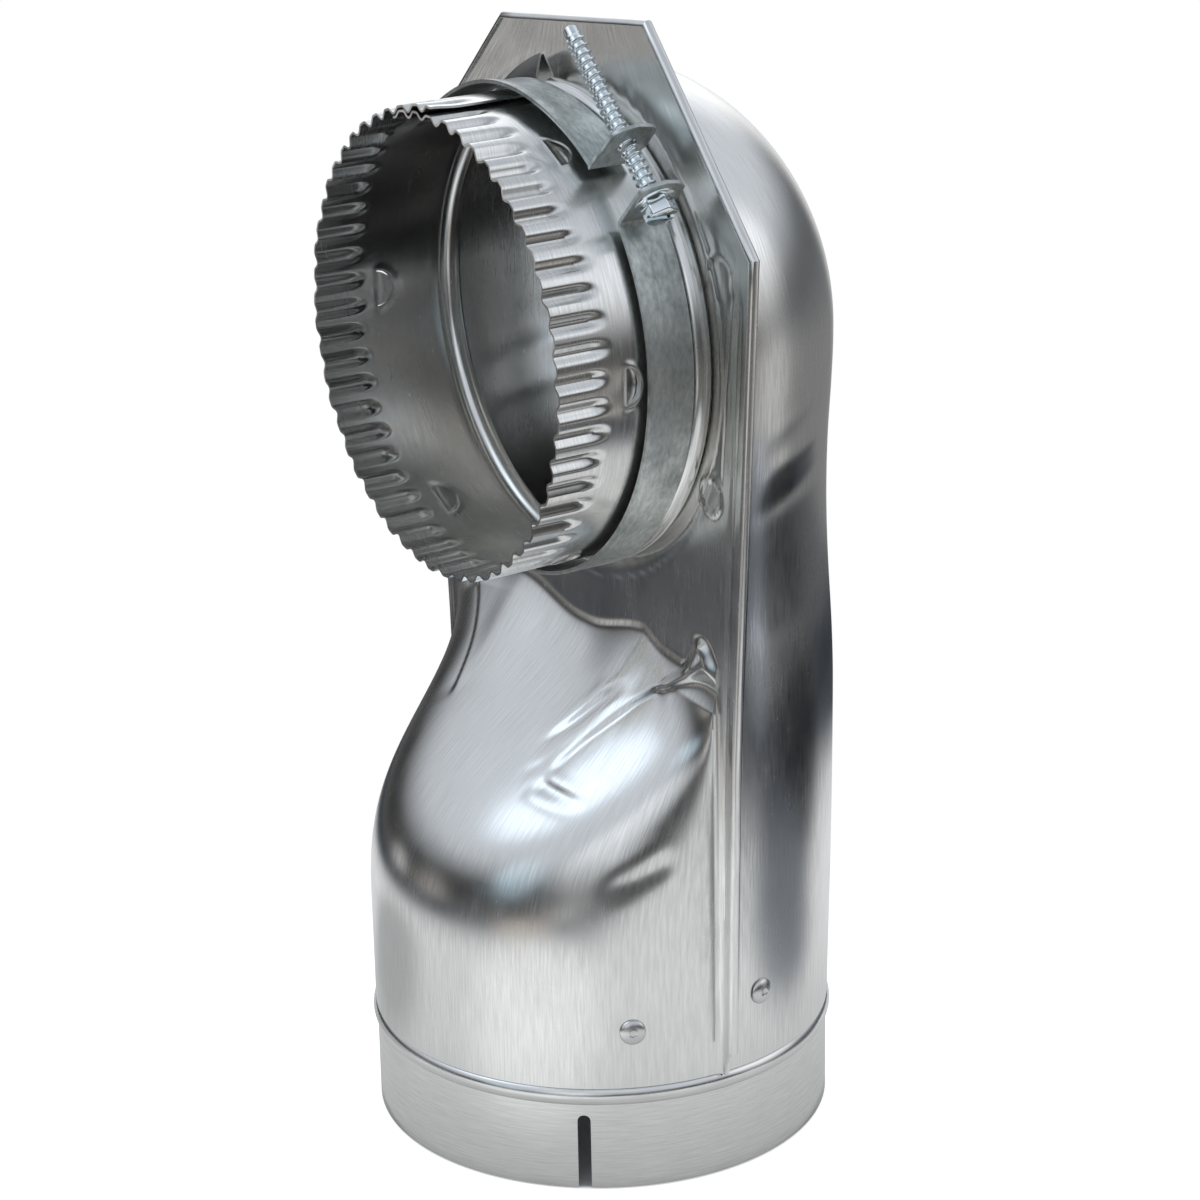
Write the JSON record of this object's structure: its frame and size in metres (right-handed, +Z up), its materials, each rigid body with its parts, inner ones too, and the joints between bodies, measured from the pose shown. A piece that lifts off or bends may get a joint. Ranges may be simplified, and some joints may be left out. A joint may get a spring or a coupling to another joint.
{
  "type": "dryer vent offset elbow",
  "caption": "Offset elbow of stamped sheet-metal half shells with a slotted inlet collar below and a turning crimped outlet collar held by a screw strap clamp.",
  "frame": {"origin": "centre of the inlet collar's open end", "axes": "+Z up along the inlet collar's axis into the elbow, -Y out of the outlet collar, +X to the right as seen from the outlet"},
  "size_m": [0.1308, 0.1069, 0.2529],
  "materials": {
    "shell_aluminium": "mill finish",
    "collar_aluminium": "mill finish",
    "galvanised_strap": "galvanised, mottled",
    "zinc_screw": "bright zinc",
    "rivet_aluminium": "satin"
  },
  "bodies": {
    "housing": {"rear_shell": "shell_aluminium", "front_shell": "shell_aluminium", "base_collar": "collar_aluminium", "rivets": "rivet_aluminium"},
    "outlet": {"outlet_collar": "collar_aluminium"},
    "clamp": {"clamp_strap": "galvanised_strap"},
    "screw": {"clamp_screw": "zinc_screw"}
  },
  "joints": [
    {"name": "outlet_swivel", "type": "hinge", "parent": "housing", "child": "outlet", "pos_m": [0, -0.0026, 0.1846], "axis": [0, -1, 0], "continuous": true},
    {"name": "strap_turn", "type": "hinge", "parent": "outlet", "child": "clamp", "pos_m": [0, -0.01405, 0.1846], "axis": [0, -1, 0], "continuous": true},
    {"name": "screw_spin", "type": "hinge", "parent": "clamp", "child": "screw", "pos_m": [0.04214, -0.01405, 0.22674], "axis": [-0.7071, 0, 0.7071], "continuous": true}
  ]
}
